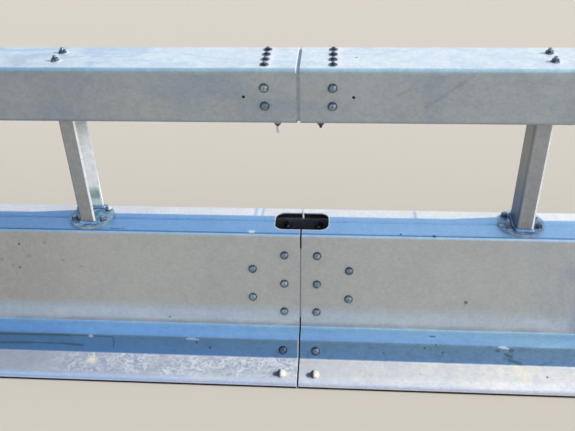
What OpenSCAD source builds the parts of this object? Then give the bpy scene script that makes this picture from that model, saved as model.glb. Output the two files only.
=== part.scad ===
// Free-standing steel highway barrier: two four metre elements joined end to end.
// X runs along the barrier, Y across it, Z up; the origin is on the ground under the joint.
// Every section is written for one half as [distance from the centre line, height].

/* [Element] */
// Distance from one joint to the next
element_pitch = 4000; // [3000:100:6000]
// Gap left between the shells of two elements
joint_gap = 5; // [2:1:12]
// Gap left between the rails of two elements
rail_gap = 9; // [4:1:20]
// Posts on one element
posts_per_element = 3; // [2:1:4]
// Thickness of the folded sheet
sheet_t = 5; // [4:0.5:6]
// Inner radius of every fold
fold_r = 8; // [6:1:12]

/* [Body section] */
// Height of the top of the body
body_top = 367; // [340:1:400]
// Distance from the centre line to the corner of the top
body_top_half = 75; // [64:1:84]
// Distance from the centre line to the foot of the panel
panel_foot_half = 174; // [165:1:190]
// Height of the foot of the panel
panel_foot_z = 88; // [84:1:100]
// Distance from the centre line to the edge of the ledge
ledge_half = 232; // [222:1:240]
// Height of the edge of the ledge
ledge_z = 81; // [74:1:83]
// Distance from the centre line to the foot of the riser
riser_foot_half = 263; // [256:1:272]
// Height of the foot of the riser
riser_foot_z = 36; // [33:1:44]
// Distance from the centre line to the outer face of the lip
foot_half = 350; // [335:1:380]
// Height of the corner above the lip
lip_h = 25; // [23:1:30]
// Depth of the flange turned down along the seam
seam_flange_h = 32; // [25:1:45]
// Inner radius of the fold at the seam
seam_fold_r = 2; // [1:0.5:5]
// Gap between the two seam flanges
seam_gap = 1; // [0.6:0.2:3]

/* [Hand hole] */
// Length of the hand hole across the joint
hand_hole_l = 166; // [120:2:190]
// Width of the hand hole
hand_hole_w = 94; // [70:2:100]
// Radius of the corners of the hand hole
hand_hole_r = 28; // [15:1:34]

/* [Rail] */
// Height of the top of the rail
rail_top = 900; // [850:5:950]
// Width of the rail
rail_w = 169; // [160:1:200]
// Height of the rail section
rail_h = 160; // [140:1:180]
// Width of the lips turned in along the bottom of the rail
rail_lip = 30; // [27:1:32]

/* [Posts] */
// Depth of a post, across the barrier
post_d = 94; // [84:1:98]
// Width of a post, along the barrier
post_w = 50; // [44:1:60]
// Diameter of the round base plate
base_plate_d = 138; // [132:1:146]
// Thickness of the base plate
base_plate_t = 10; // [8:1:14]
// Length of the head plate, along the barrier
head_plate_l = 74; // [64:1:100]
// Width of the head plate, across the barrier
head_plate_w = 104; // [96:1:105]
// Thickness of the head plate
head_plate_t = 8; // [6:1:12]
// Radius of the corners of the head plate
head_plate_r = 10; // [5:1:15]

/* [Joint pieces] */
// Clearance between a joint piece and the sheet that it backs
joint_fit = 0.3; // [0.2:0.1:1]
// Thickness of the joint pieces
joint_t = 5; // [4:0.5:6]
// Half length of the joint plate behind the panel
joint_plate_half = 184; // [175:1:220]
// Distance from the outer rows of panel holes to the edge of the joint plate
joint_plate_margin = 20; // [15:1:30]
// Radius of the corners of the joint plate
joint_plate_r = 12; // [4:1:20]
// Half length of the joint strap behind the riser and the foot
joint_strap_half = 86; // [76:1:110]
// Distance down the riser from the edge of the ledge to the joint strap
joint_strap_start = 9; // [7:1:12]
// Gap between the edge of the joint strap and the lip
joint_strap_lip_gap = 8; // [6:1:12]
// Half length of the rail sleeve
sleeve_half = 124; // [114:1:132]

/* [Bolt holes] */
// Radius of a hole for a large bolt
bolt_hole_r = 9; // [8:0.5:10]
// Radius of a hole for a small bolt
small_hole_r = 7; // [6:0.5:8]
// Distance from the joint to the near column of panel holes
near_hole_x = 50; // [40:1:60]
// Distance from the joint to the far column of panel holes
far_hole_x = 148; // [130:1:160]
// Distance down the panel from its top corner to the first hole
panel_hole_start = 66; // [64:1:76]
// Distance between the holes of the near column
panel_hole_pitch = 91; // [80:1:95]
// Distance down the riser from the edge of the ledge to its hole
riser_hole_start = 30; // [26:1:36]
// Distance from the outer face of the lip to the hole in the foot
foot_hole_inset = 29; // [27:1:45]
// Distance from the joint to the holes in the rail's top and sides
rail_hole_x = 91; // [80:1:100]
// Distance between the holes across the rail's top
rail_top_pitch = 37.5; // [34:0.5:40]
// Distance between the two holes in the rail's side
rail_side_pitch = 52; // [40:1:70]
// Distance from the joint to the hole in the rail's lip
lip_hole_x = 59.5; // [45:0.5:70]
// Radius of the hole in the rail's lip
lip_hole_r = 5.5; // [4:0.5:6]
// Distance from the joint to the small hole in the rail's side
drain_hole_x = 147; // [142:1:170]
// Radius of the small hole in the rail's side
drain_hole_r = 4.5; // [3:0.5:6]
// Distance along the barrier between the base plate's holes
base_hole_l = 90; // [84:1:96]
// Distance across the barrier between the base plate's holes
base_hole_w = 58; // [50:1:66]
// Distance across the barrier between the head plate's holes
head_hole_w = 62; // [50:1:66]

/* [Hidden] */

$fn = 48;
front = -1;
rear = 1;
left = -1;
right = 1;
galvanised = [0.66, 0.69, 0.72];
fold_steps = 6;
// How far a cutter reaches past the sheet on each side
cut = 15;

element_l = element_pitch - joint_gap;
rail_l = element_pitch - rail_gap;
rail_bottom = rail_top - rail_h;
post_pitch = element_pitch / posts_per_element;
post_foot = body_top + base_plate_t;
post_top = rail_top - sheet_t - head_plate_t;
lip_hole_half = rail_w / 2 - (rail_lip + sheet_t + fold_r) / 2;
joint_depth = sheet_t + joint_fit;
joint_plate_w = 2 * panel_hole_pitch + 2 * joint_plate_margin;

top_corner = [body_top_half, body_top];
panel_foot = [panel_foot_half, panel_foot_z];
ledge_edge = [ledge_half, ledge_z];
riser_foot = [riser_foot_half, riser_foot_z];
foot_edge = [foot_half, lip_h];
seam_top = [seam_gap / 2, body_top];

// Outer faces of the folded pieces, in the order in which they are folded
shell_path = [seam_top - [0, seam_flange_h], seam_top, top_corner, panel_foot,
    ledge_edge, riser_foot, foot_edge, [foot_half, 0]];
shell_radii = [seam_fold_r, fold_r, fold_r, fold_r, fold_r, fold_r];
strap_path = [along(ledge_edge, riser_foot, joint_strap_start), riser_foot,
    along(foot_edge, riser_foot, sheet_t + joint_strap_lip_gap)];
strap_radii = [fold_r];
rail_path = [[rail_lip - rail_w / 2, rail_bottom], [-rail_w / 2, rail_bottom], [-rail_w / 2, rail_top],
    [rail_w / 2, rail_top], [rail_w / 2, rail_bottom], [rail_w / 2 - rail_lip, rail_bottom]];
rail_radii = [fold_r, fold_r, fold_r, fold_r];
post_path = [[post_w, -post_d] / 2, [-post_w, -post_d] / 2, [-post_w, post_d] / 2, [post_w, post_d] / 2];
post_radii = [fold_r, fold_r];

// Plane vectors
function heading(p, q) = (q - p) / norm(q - p);
function along(p, q, distance) = p + heading(p, q) * distance;
function right_of(v) = [v.y, -v.x];
function turned(v, a) = [v.x * cos(a) - v.y * sin(a), v.x * sin(a) + v.y * cos(a)];
function turn_between(u, v) = atan2(u.x * v.y - u.y * v.x, u * v);
function reversed(list) = [for (i = [len(list) - 1 : -1 : 0]) list[i]];

// The arc that a face takes round a corner, lying depth inside the outer face.
// A fold away from the outer face has its centre inside the sheet's inner face.
function fold(corner, u, v, inner_r, depth) =
    let (turn = turn_between(u, v),
        inward = turn < 0,
        outer_r = inward ? inner_r + sheet_t : inner_r,
        r = inward ? outer_r - depth : outer_r + depth,
        to_centre = inward ? right_of(u) : -right_of(u),
        centre = corner - u * outer_r * tan(abs(turn) / 2) + to_centre * outer_r)
    [for (i = [0 : fold_steps]) centre + turned(-to_centre * r, turn * i / fold_steps)];

// The whole face of a folded sheet, depth inside the outer face
function face(path, radii, depth) =
    let (last = len(path) - 1)
    concat([path[0] + right_of(heading(path[0], path[1])) * depth],
        [for (i = [1 : last - 1], p = fold(path[i], heading(path[i - 1], path[i]),
            heading(path[i], path[i + 1]), radii[i - 1], depth)) p],
        [path[last] + right_of(heading(path[last - 1], path[last])) * depth]);

// A folded sheet in section, between two depths inside the outer face
module folded_section(path, radii, depth, thickness) {
    polygon(concat(face(path, radii, depth), reversed(face(path, radii, depth + thickness))));
}

// A section drawn across the barrier, made to run along it
module run(from, length) {
    translate([from, 0, 0]) rotate([90, 0, 90]) linear_extrude(length) children();
}

module on_side(side) {
    if (side == front) mirror([0, 1, 0]) children();
    else children();
}

module on_end(end) {
    if (end == left) mirror([1, 0, 0]) children();
    else children();
}

// Children once at each end of the right-hand element, at a distance from the joint
module both_ends(distance) {
    for (x = [distance, element_pitch - distance]) translate([x, 0, 0]) children();
}

// Children laid on the face from p to q, at a distance from p, with their Z pointing out of it
module on_face(p, q, distance) {
    place = along(p, q, distance);
    outward = -right_of(heading(p, q));
    translate([0, place.x, place.y]) rotate([-atan2(outward.x, outward.y), 0, 0]) children();
}

module hole_in(p, q, distance, r) {
    on_face(p, q, distance) cylinder(h = 2 * cut, r = r, center = true);
}

module upright_hole(x, y, z, r) {
    translate([x, y, z - cut]) cylinder(h = 2 * cut, r = r);
}

module rounded_rectangle(l, w, r) {
    square([l, w - 2 * r], center = true);
    square([l - 2 * r, w], center = true);
    for (x = [-1, 1], y = [-1, 1]) translate([x * (l / 2 - r), y * (w / 2 - r)]) circle(r);
}

// Holes that the shells share with the joint plates and straps
module shell_joint_holes() {
    foot_hole = foot_hole_inset / heading(riser_foot, foot_edge).x;
    both_ends(near_hole_x) {
        for (i = [0 : 2])
            hole_in(top_corner, panel_foot, panel_hole_start + i * panel_hole_pitch, bolt_hole_r);
        hole_in(ledge_edge, riser_foot, riser_hole_start, bolt_hole_r);
        hole_in(riser_foot, foot_edge, norm(foot_edge - riser_foot) - foot_hole, bolt_hole_r);
    }
    both_ends(far_hole_x) for (i = [0.5, 1.5])
        hole_in(top_corner, panel_foot, panel_hole_start + i * panel_hole_pitch, bolt_hole_r);
}

// Holes that the rails share with the sleeve
module rail_joint_holes() {
    both_ends(rail_hole_x) {
        for (i = [-1.5 : 1.5]) upright_hole(0, i * rail_top_pitch, rail_top, small_hole_r);
        for (side = [front, rear], i = [-0.5, 0.5])
            translate([0, side * rail_w / 2, rail_top - rail_h / 2 + i * rail_side_pitch])
                rotate([90, 0, 0]) cylinder(h = 2 * cut, r = bolt_hole_r, center = true);
    }
    both_ends(lip_hole_x) for (side = [front, rear])
        upright_hole(0, side * lip_hole_half, rail_bottom, lip_hole_r);
}

// The part of the hand hole that falls in each element, cut down through the seam flange
module hand_hole() {
    translate([0, 0, body_top - seam_flange_h - 1]) linear_extrude(seam_flange_h + 2)
        rounded_rectangle(hand_hole_l, hand_hole_w, hand_hole_r);
}

module base_bolt_holes(z) {
    for (x = [-1, 1], y = [-1, 1]) upright_hole(x * base_hole_l / 2, y * base_hole_w / 2, z, small_hole_r);
}

module head_bolt_holes(z) {
    for (y = [-1, 1]) upright_hole(0, y * head_hole_w / 2, z, bolt_hole_r);
}

// One half of the hollow body, folded from one sheet
module shell(end, side) {
    color(galvanised) on_end(end) on_side(side) difference() {
        run(joint_gap / 2, element_l) folded_section(shell_path, shell_radii, 0, sheet_t);
        both_ends(0) hand_hole();
        shell_joint_holes();
        for (i = [0.5 : posts_per_element]) translate([i * post_pitch, 0, 0]) base_bolt_holes(body_top);
    }
}

// The flat plate behind the panels, which both elements are bolted to
module joint_plate(side) {
    color(galvanised) on_side(side) difference() {
        on_face(top_corner, panel_foot, panel_hole_start + panel_hole_pitch)
            translate([0, 0, -joint_depth - joint_t]) linear_extrude(joint_t)
                rounded_rectangle(2 * joint_plate_half, joint_plate_w, joint_plate_r);
        for (end = [left, right]) on_end(end) shell_joint_holes();
    }
}

// The folded strap behind the risers and the feet
module joint_strap(side) {
    color(galvanised) on_side(side) difference() {
        run(-joint_strap_half, 2 * joint_strap_half)
            folded_section(strap_path, strap_radii, joint_depth, joint_t);
        for (end = [left, right]) on_end(end) shell_joint_holes();
    }
}

// The box rail, open underneath between its lips
module rail(end) {
    color(galvanised) on_end(end) difference() {
        run(rail_gap / 2, rail_l) folded_section(rail_path, rail_radii, 0, sheet_t);
        rail_joint_holes();
        both_ends(drain_hole_x) translate([0, 0, rail_top - rail_h / 2])
            rotate([90, 0, 0]) cylinder(h = rail_w + cut, r = drain_hole_r, center = true);
        for (i = [0.5 : posts_per_element]) translate([i * post_pitch, 0, 0]) head_bolt_holes(rail_top);
    }
}

// The sleeve inside the rail joint
module rail_sleeve() {
    color(galvanised) difference() {
        run(-sleeve_half, 2 * sleeve_half)
            folded_section(rail_path, rail_radii, joint_depth, joint_t);
        for (end = [left, right]) on_end(end) rail_joint_holes();
    }
}

// Posts are counted from the left end of the barrier
module at_post(i) {
    translate([(i - 0.5 - posts_per_element) * post_pitch, 0, 0]) children();
}

// A folded channel, open to the right
module post(i) {
    color(galvanised) at_post(i) translate([0, 0, post_foot])
        linear_extrude(post_top - post_foot) folded_section(post_path, post_radii, 0, sheet_t);
}

module base_plate(i) {
    color(galvanised) at_post(i) difference() {
        translate([0, 0, body_top]) cylinder(h = base_plate_t, d = base_plate_d, $fn = 96);
        base_bolt_holes(body_top + base_plate_t / 2);
    }
}

module head_plate(i) {
    color(galvanised) at_post(i) difference() {
        translate([0, 0, post_top]) linear_extrude(head_plate_t)
            rounded_rectangle(head_plate_l, head_plate_w, head_plate_r);
        head_bolt_holes(post_top + head_plate_t / 2);
    }
}

shell(left, front);  // left_front_shell
shell(left, rear);  // left_rear_shell
shell(right, front);  // right_front_shell
shell(right, rear);  // right_rear_shell
joint_plate(front);  // front_joint_plate
joint_plate(rear);  // rear_joint_plate
joint_strap(front);  // front_joint_strap
joint_strap(rear);  // rear_joint_strap
rail(left);  // left_rail
rail(right);  // right_rail
rail_sleeve();
for (i = [1 : 2 * posts_per_element]) {
    post(i);
    base_plate(i);
    head_plate(i);
}
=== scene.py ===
# A free-standing steel highway barrier: two four metre elements, bolted end to end, on a pale studio floor.
# Metres throughout. X runs along the barrier, Y across it, Z up, and the joint is at X = 0.
import math
import bpy
from mathutils import Matrix, Vector


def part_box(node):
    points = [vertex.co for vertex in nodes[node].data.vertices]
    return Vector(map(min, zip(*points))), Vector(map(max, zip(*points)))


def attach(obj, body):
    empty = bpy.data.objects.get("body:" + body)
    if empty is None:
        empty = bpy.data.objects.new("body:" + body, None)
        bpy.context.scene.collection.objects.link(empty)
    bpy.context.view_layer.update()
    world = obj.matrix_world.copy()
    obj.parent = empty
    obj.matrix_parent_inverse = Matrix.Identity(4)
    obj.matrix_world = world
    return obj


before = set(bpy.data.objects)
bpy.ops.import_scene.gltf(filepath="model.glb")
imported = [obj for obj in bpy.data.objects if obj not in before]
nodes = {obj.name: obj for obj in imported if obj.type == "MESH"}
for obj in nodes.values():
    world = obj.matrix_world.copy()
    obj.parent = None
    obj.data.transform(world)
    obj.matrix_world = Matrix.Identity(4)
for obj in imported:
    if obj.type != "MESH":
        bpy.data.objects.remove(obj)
scene = bpy.context.scene
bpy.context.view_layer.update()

# The view
# The camera stands in front of the joint at about eye height, and looks down on the barrier.
camera_place = Vector((0.1087, -1.8209, 1.5876))
camera_lens = 44.1
looks_down, looks_left, leans = math.radians(33.31), math.radians(4.82), math.radians(-1.65)
camera = bpy.data.objects.new("camera", bpy.data.cameras.new("camera"))
camera.data.lens = camera_lens
camera.data.sensor_width = 36
turn = Matrix.Rotation(looks_left, 4, "Z") @ Matrix.Rotation(math.pi / 2 - looks_down, 4, "X")
camera.matrix_world = Matrix.Translation(camera_place) @ turn @ Matrix.Rotation(leans, 4, "Z")
scene.collection.objects.link(camera)
scene.camera = camera
scene.view_settings.view_transform = "Standard"

# The light
# A key lamp from the right and slightly behind, a wide soft lamp low on the right, and an even pale
# surround.
key_from, key_strength, key_softness = Vector((0.80, 0.09, 0.58)), 2.5, math.radians(1.8)
side_from, side_strength, side_softness = Vector((0.90, -0.34, 0.26)), 2.0, math.radians(60)
key_colour, side_colour = (1, 0.98, 0.95), (1, 0.99, 0.97)
surround_strength = 0.90


class Wire:
    """A socket of a node tree. + - * / on it add Math nodes, and node() adds any other node."""

    def __init__(self, tree, socket=None):
        self.tree, self.socket = tree, socket

    def node(self, kind, settings=None, sockets=None, out=0):
        """The node's settings come first, then a value or a wire for each named or numbered input."""
        made = self.tree.nodes.new(kind)
        for name, value in (settings or {}).items():
            if name == "stops":
                for _ in value[2:]:
                    made.color_ramp.elements.new(0.5)
                for element, (place, colour) in zip(made.color_ramp.elements, value):
                    element.position = place
                    element.color = colour
            else:
                setattr(made, name, value)
        for name, value in (sockets or {}).items():
            wires = [w for w in (value if isinstance(value, list) else [value]) if isinstance(w, Wire)]
            for wire in wires:
                self.tree.links.new(wire.socket, made.inputs[name])
            if not wires:
                made.inputs[name].default_value = value
        return Wire(self.tree, made.outputs[out] if made.outputs else None)

    def math(self, operation, *others):
        return self.node("ShaderNodeMath", {"operation": operation}, dict(enumerate((self, *others))))

    def after(self, operation, other):
        return self.node("ShaderNodeMath", {"operation": operation}, {0: other, 1: self})

    def vector(self, operation, *others, out=0):
        given = dict(enumerate((self, *others)))
        return self.node("ShaderNodeVectorMath", {"operation": operation}, given, out)

    def __add__(self, other):
        return self.math("ADD", other)

    __radd__ = __add__

    def __sub__(self, other):
        return self.math("SUBTRACT", other)

    def __rsub__(self, other):
        return self.after("SUBTRACT", other)

    def __mul__(self, other):
        return self.math("MULTIPLY", other)

    __rmul__ = __mul__

    def __truediv__(self, other):
        return self.math("DIVIDE", other)

    def __rtruediv__(self, other):
        return self.after("DIVIDE", other)


def rgb(red, green, blue):
    """A colour as it looks on a screen, 0 to 255, as Blender's linear colour."""
    channels = [c / 255 for c in (red, green, blue)]
    return tuple(c / 12.92 if c < 0.04045 else ((c + 0.055) / 1.055) ** 2.4 for c in channels) + (1,)


def ramp(value, stops):
    """The colour at a value from 0 to 1, from pairs of a place and a colour."""
    return value.node("ShaderNodeValToRGB", {"stops": stops}, {0: value})


def lamp(name, towards, strength, softness, colour):
    """A lamp so far away that it lights the whole barrier evenly."""
    made = bpy.data.objects.new(name, bpy.data.lights.new(name, "SUN"))
    made.data.energy, made.data.angle, made.data.color = strength, softness, colour
    made.rotation_mode = "QUATERNION"
    made.rotation_quaternion = towards.to_track_quat("Z", "Y")
    scene.collection.objects.link(made)


surround_low, surround_high, backdrop = rgb(248, 245, 240), rgb(226, 238, 255), rgb(224, 219, 211)
lamp("key", key_from, key_strength, key_softness, key_colour)
lamp("side", side_from, side_strength, side_softness, side_colour)
scene.world = bpy.data.worlds.new("studio")
scene.world.use_nodes = True
scene.world.node_tree.nodes.clear()
studio = Wire(scene.world.node_tree)
direction = studio.node("ShaderNodeTexCoord")
rise = studio.node("ShaderNodeSeparateXYZ", None, {0: direction}, out=2)
surround = ramp(rise, [(0, surround_low), (0.7, surround_high)])
lit = studio.node("ShaderNodeBackground", None, {"Color": surround, "Strength": surround_strength})
seen = studio.node("ShaderNodeBackground", None, {"Color": backdrop, "Strength": 1.0})
camera_ray = studio.node("ShaderNodeLightPath", None, None, out="Is Camera Ray")
both = studio.node("ShaderNodeMixShader", None, {0: camera_ray, 1: lit, 2: seen})
studio.node("ShaderNodeOutputWorld", None, {"Surface": both})

# The floor
# A plain pale floor, wide enough to reach the backdrop from every side.
floor_half = 60.0
floor_colour = rgb(190, 181, 168)
floor_mesh = bpy.data.meshes.new("floor")
corners = [(-floor_half, -floor_half, 0), (floor_half, -floor_half, 0), (floor_half, floor_half, 0),
           (-floor_half, floor_half, 0)]
floor_mesh.from_pydata(corners, [], [(0, 1, 2, 3)])
floor = bpy.data.objects.new("floor", floor_mesh)
scene.collection.objects.link(floor)
floor_finish = bpy.data.materials.new("floor_finish")
floor_finish.use_nodes = True
for name, value in {"Base Color": floor_colour, "Roughness": 0.8, "Specular IOR Level": 0.2}.items():
    floor_finish.node_tree.nodes["Principled BSDF"].inputs[name].default_value = value
floor_mesh.materials.append(floor_finish)

# The shells
# Each half of the hollow body is one 5 mm steel sheet, folded on a press brake and then dipped in zinc.
# The zinc is matt and cloudy, whiter where the weather reaches it and bluer where the rail keeps it dry.
sheet = 0.005
body_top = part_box("left_front_shell")[1].z
# The folds of the section, by their distance from the middle and their height
top_corner, panel_foot = Vector((0.075, body_top)), Vector((0.174, 0.088))
ledge_edge, riser_foot = Vector((0.232, 0.081)), Vector((0.263, 0.036))
foot_edge = Vector((0.350, 0.025))
post_count = sum(name.startswith("post_") for name in nodes)
numbers = range(1, post_count + 1)
middles = [sum(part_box(f"post_{i}"), Vector()).x / 2 for i in numbers]
post_pitch = middles[1] - middles[0]


def from_post(along):
    """How far a point lies to the right of the nearest post."""
    pitches = (along - middles[0]) / post_pitch
    return (pitches - pitches.math("ROUND")) * post_pitch


def noise(point, scale, detail=4.0, distortion=0.0, stretch=(1, 1, 1), seed=0.0):
    """Cloudy variation from 0 to 1 over the object, stretched along an axis by a scale below 1."""
    placed = point.node("ShaderNodeMapping", None, {"Vector": point, "Location": (seed, 2 * seed, 3 * seed),
                                                    "Scale": stretch})
    return point.node("ShaderNodeTexNoise", None, {"Vector": placed, "Scale": scale, "Detail": detail,
                                                   "Distortion": distortion})


def steps(value, low, high):
    """0 below low, 1 above high, and smooth between them."""
    return value.node("ShaderNodeMapRange", {"interpolation_type": "SMOOTHSTEP"},
                      {"Value": value, "From Min": low, "From Max": high})


def band(value, outer_low, low, high, outer_high):
    """1 from low to high, 0 outside the outer limits, and smooth between them."""
    return steps(value, outer_low, low) * (1 - steps(value, high, outer_high))


def blend(factor, first, second, way="MIX"):
    """Colour first where factor is 0 and second where it is 1."""
    wire = next(x for x in (factor, first, second) if isinstance(x, Wire))
    return wire.node("ShaderNodeMix", {"data_type": "RGBA", "blend_type": way},
                     {"Factor": factor, 6: first, 7: second}, out=2)


def zones(share, depth, rows, sheen_rightward):
    """The colour at a share of the depth. A row has a place in metres, the colour at the left end and the
    one at the right end, which a painted sheen makes brighter.
    """
    old, new = (ramp(share, [(row[0] / depth, row[kind]) for row in rows]) for kind in (1, 2))
    return blend(sheen_rightward, old, new)


def speck(point, place, width, soft=0.5):
    """1 on a round mark, fading to 0 at its edge."""
    return 1 - steps(point.vector("DISTANCE", place, out=1), width / 2 * (1 - soft), width / 2 * (1 + soft))


def stroke(point, start, end, width, soft=0.5):
    """1 on a mark drawn from start to end, fading to 0 at its edge."""
    start, end = Vector(start), Vector(end)
    heading = (end - start).normalized()
    offset = point.vector("SUBTRACT", start)
    along_it = offset.vector("DOT_PRODUCT", heading, out=1)
    held = along_it.math("MAXIMUM", 0.0).math("MINIMUM", (end - start).length)
    nearest = point.node("ShaderNodeVectorMath", {"operation": "SCALE"}, {0: heading, "Scale": held})
    apart = offset.vector("DISTANCE", nearest, out=1)
    return 1 - steps(apart, width / 2 * (1 - soft), width / 2 * (1 + soft))


def any_of(masks):
    """The strongest of several masks."""
    strongest = masks[0]
    for mask in masks[1:]:
        strongest = strongest.math("MAXIMUM", mask)
    return strongest


def zinc(name, metal=0.5):
    """An empty zinc finish, its object coordinates, and their three parts."""
    made = bpy.data.materials.new(name)
    made.use_nodes = True
    made.node_tree.nodes["Principled BSDF"].inputs["Metallic"].default_value = metal
    point = Wire(made.node_tree).node("ShaderNodeTexCoord", None, None, out="Object")
    return made, point, [point.node("ShaderNodeSeparateXYZ", None, {0: point}, out=i) for i in range(3)]


def finish_zinc(made, point, colour, flecks=0.3, rough=0.5, relief=0.15, **varied):
    """Adds the clouds, frost, flecks and fine grain that every dipped surface has, more or less of them."""
    cloud = steps(noise(point, 4, 5, 0.8), 0.25, 0.75)
    streak = steps(noise(point, 9, 4, 0.3, (1, 0.25, 0.25), 5.3), 0.3, 0.7)
    frost = steps(noise(point, 150, 3, 0.4, (0.7, 1, 1), 9.4), 0.38, 0.62)
    mottle = noise(point, 46, 6, 0.7, seed=3.1)
    grain = noise(point, 380, 2, seed=7.7)
    fleck = (1 - steps(mottle, 0.36, 0.62)) * flecks
    colour = blend(1.0, colour, blend(cloud, rgb(248, 248, 250), rgb(255, 255, 253)), "MULTIPLY")
    colour = blend(1 - streak, colour, rgb(251, 251, 252), "MULTIPLY")
    colour = blend(1 - frost, colour, rgb(246, 247, 249), "MULTIPLY")
    colour = blend(fleck, colour, rgb(196, 203, 214), "MULTIPLY")
    relief_height, rough_swing = 0.0006, 0.16
    bumps = point.node("ShaderNodeBump", None, {"Strength": relief, "Distance": relief_height,
                                                "Height": mottle * 0.6 + grain * 0.4})
    roughness = mottle * rough_swing + (rough - rough_swing / 2)
    wires = {"Base Color": colour, "Roughness": roughness, "Normal": bumps, **varied}
    for name, wire in wires.items():
        made.node_tree.links.new(wire.socket, made.node_tree.nodes["Principled BSDF"].inputs[name])


def dress(node_name, finish):
    """Gives a CAD piece its finish."""
    piece = nodes[node_name]
    piece.data.materials.clear()
    piece.data.materials.append(finish)


white = rgb(255, 255, 255)
# Colours down the section by the distance from the middle, at the left end and at the right end, which a
# painted sheen makes brighter
sheet_colours = [
    # The top, blue with painted shade and sky reflection, a line of painted shade along it and a painted
    # highlight on its fold
    (0.0000, rgb(122, 173, 226), rgb(170, 214, 252)),
    (0.0640, rgb(122, 173, 226), rgb(170, 214, 252)),
    (0.0680, rgb(90, 130, 174), rgb(120, 160, 202)),
    (0.0708, rgb(90, 130, 174), rgb(120, 160, 202)),
    (0.0728, rgb(160, 206, 246), rgb(196, 234, 255)),
    (0.0752, rgb(152, 192, 228), rgb(188, 222, 246)),
    # The panel, paler and bluer towards its foot, and painted shade in the crease below it
    (0.0772, rgb(177, 177, 172), rgb(178, 179, 176)),
    (0.1500, rgb(177, 177, 172), rgb(178, 179, 176)),
    (0.1600, rgb(181, 196, 210), rgb(184, 193, 200)),
    (0.1685, rgb(184, 199, 212), rgb(188, 195, 200)),
    (0.1715, rgb(166, 170, 174), rgb(170, 174, 178)),
    (0.1740, rgb(140, 152, 160), rgb(150, 160, 168)),
    # The ledge, blue with painted shade and sky reflection, brightest with a painted reflection under the
    # panel and darker towards its edge
    (0.1765, rgb(150, 206, 255), rgb(190, 234, 255)),
    (0.1870, rgb(140, 196, 252), rgb(172, 213, 246)),
    (0.2050, rgb(126, 183, 249), rgb(156, 200, 241)),
    (0.2270, rgb(106, 157, 220), rgb(138, 176, 220)),
    # The riser, dark blue with painted shade and sky reflection, greyest at its top
    (0.2310, rgb(82, 120, 146), rgb(104, 136, 158)),
    (0.2345, rgb(72, 109, 138), rgb(96, 128, 150)),
    (0.2390, rgb(68, 114, 156), rgb(97, 129, 155)),
    (0.2620, rgb(68, 117, 169), rgb(95, 131, 168)),
    # The foot, white at the right end with painted sunlight, and its lip, blue with painted shade
    (0.2650, rgb(167, 174, 187), rgb(242, 238, 232)),
    (0.3160, rgb(167, 174, 187), rgb(242, 238, 232)),
    (0.3350, rgb(167, 174, 187), rgb(255, 252, 246)),
    (0.3430, rgb(160, 177, 200), rgb(228, 227, 226)),
    (0.3500, rgb(163, 197, 243), rgb(216, 222, 238)),
]
shell_finish, point, (along, across, up) = zinc("shell_zinc")
distance = across.math("ABSOLUTE")
# A painted sheen brightens the colours from the left end to the right end
sheen_from, sheen_full = -1.2, 0.8
sheen_rightward = steps(along, sheen_from, sheen_full)
colour = zones(distance / foot_edge.x, foot_edge.x, sheet_colours, sheen_rightward)
past_top = steps(distance, top_corner.x + 0.001, top_corner.x + 0.004)
past_panel = steps(distance, panel_foot.x, panel_foot.x + 0.003)
past_ledge = steps(distance, ledge_edge.x - 0.004, ledge_edge.x)
on_foot = steps(distance, riser_foot.x, riser_foot.x + 0.003)
on_panel, on_ledge = past_top * (1 - past_panel), past_panel * (1 - past_ledge)
on_riser = past_ledge * (1 - on_foot)

# Pale damp marks low on the panel, a green tint on the ledge, dark stains on the riser, and two duller
# places:
# the panel at the right, and all but the foot at the left, where it is painted shade
damp_from, damp_full = 0.156, 0.164
damp = steps(noise(point, 24, 5, 0.8, (0.25, 1, 1), 4.2), 0.42, 0.66) * steps(distance, damp_from, damp_full)
colour = blend(damp * (1 - past_panel) * 0.45, colour, rgb(206, 208, 216))
tinted = steps(noise(point, 7, 3, 0.4, (0.6, 1, 1), 6.1), 0.42, 0.68) * on_ledge
colour = blend(tinted * sheen_rightward * 0.35, colour, rgb(176, 222, 228))
stained = steps(noise(point, 55, 6, 1.0, (0.7, 1, 1), 2.7), 0.46, 0.70) * on_riser
colour = blend(stained * (sheen_rightward * 0.24 + 0.20), colour, rgb(74, 100, 124))
smudge_from, smudge_full = 0.62, 0.92
smudged = steps(noise(point, 9, 4, 0.8, (1, 1, 0.3), 8.1), 0.36, 0.64) * on_panel
colour = blend(smudged * steps(along, smudge_from, smudge_full) * 0.9, colour, rgb(146, 157, 175))
dull_until, clear_from = -0.92, -0.55
shaded_left = (1 - steps(along, dull_until, clear_from)) * (1 - on_foot)
colour = blend(shaded_left, colour, rgb(244, 242, 240), "MULTIPLY")

# The left foot is dull, without the painted sunlight of the right one, with soft whitish curls of weathered
# zinc on its flat
flat_until, edge_from = 0.332, 0.340
left_foot = on_foot * along.math("LESS_THAN", 0.0)
flat_foot = left_foot * (1 - steps(distance, flat_until, edge_from))
hazy = steps(noise(point, 9, 3, 0.5, (0.35, 1, 1), 7.2), 0.40, 0.68)
colour = blend(flat_foot * hazy * 0.3, colour, rgb(208, 205, 210))
curls = steps(noise(point, 54, 6, 2.0, (0.8, 1, 1), 1.7), 0.36, 0.64)
patches = steps(noise(point, 11, 3, 0.4, seed=9.2), 0.32, 0.62)
curls_from, curls_full = -0.84, -0.62
curled = flat_foot * steps(along, curls_from, curls_full)
colour = blend(curled * (1 - curls) * 0.60, colour, rgb(152, 172, 200))
colour = blend(curled * curls * (patches * 0.75 + 0.05), colour, rgb(246, 244, 245))
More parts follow.
